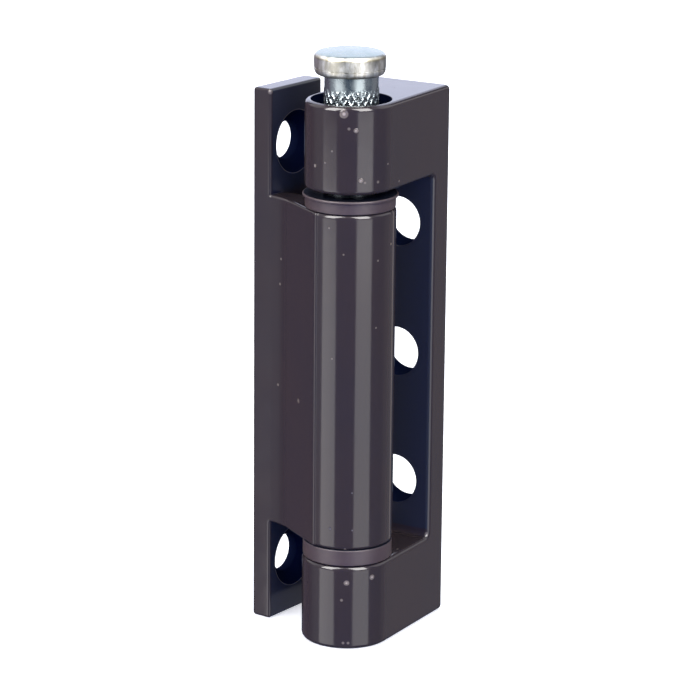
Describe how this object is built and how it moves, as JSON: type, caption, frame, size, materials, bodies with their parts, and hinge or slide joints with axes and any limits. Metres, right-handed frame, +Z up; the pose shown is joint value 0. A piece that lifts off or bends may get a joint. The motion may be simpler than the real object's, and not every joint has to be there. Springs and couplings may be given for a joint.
{
  "type": "pvc door hinge",
  "caption": "Upright door hinge: frame leaf with round knuckles and a screw plate, swinging sash leaf with an edge plate, flanged bushes and a loose knurled pin standing raised.",
  "frame": {"origin": "centre of the middle screw hole of the frame leaf, on the leaf's back face", "axes": "+Z up along the pin axis, +Y out of the back face into the door frame, +X toward the open side of the frame leaf"},
  "size_m": [0.0288, 0.0301, 0.1088],
  "materials": {
    "coated_metal": "gloss dark brown coating",
    "zinc_steel": "zinc plated, knurled",
    "brown_nylon": "satin brown",
    "dark_nylon": "satin dark"
  },
  "bodies": {
    "frame": {"frame_leaf": "coated_metal", "upper_liner": "dark_nylon", "lower_liner": "dark_nylon"},
    "sash": {"sash_leaf": "coated_metal", "upper_bush": "brown_nylon", "lower_bush": "brown_nylon"},
    "pin": {"hinge_pin": "zinc_steel"}
  },
  "joints": [
    {"name": "sash_swing", "type": "hinge", "parent": "frame", "child": "sash", "pos_m": [-0.0008, -0.0215, -0.0005], "axis": [0, 0, 1], "range_deg": [-20, 186]},
    {"name": "pin_slide", "type": "slide", "parent": "frame", "child": "pin", "axis": [0, 0, 1], "range_m": [-0.0083, 0.073]}
  ]
}
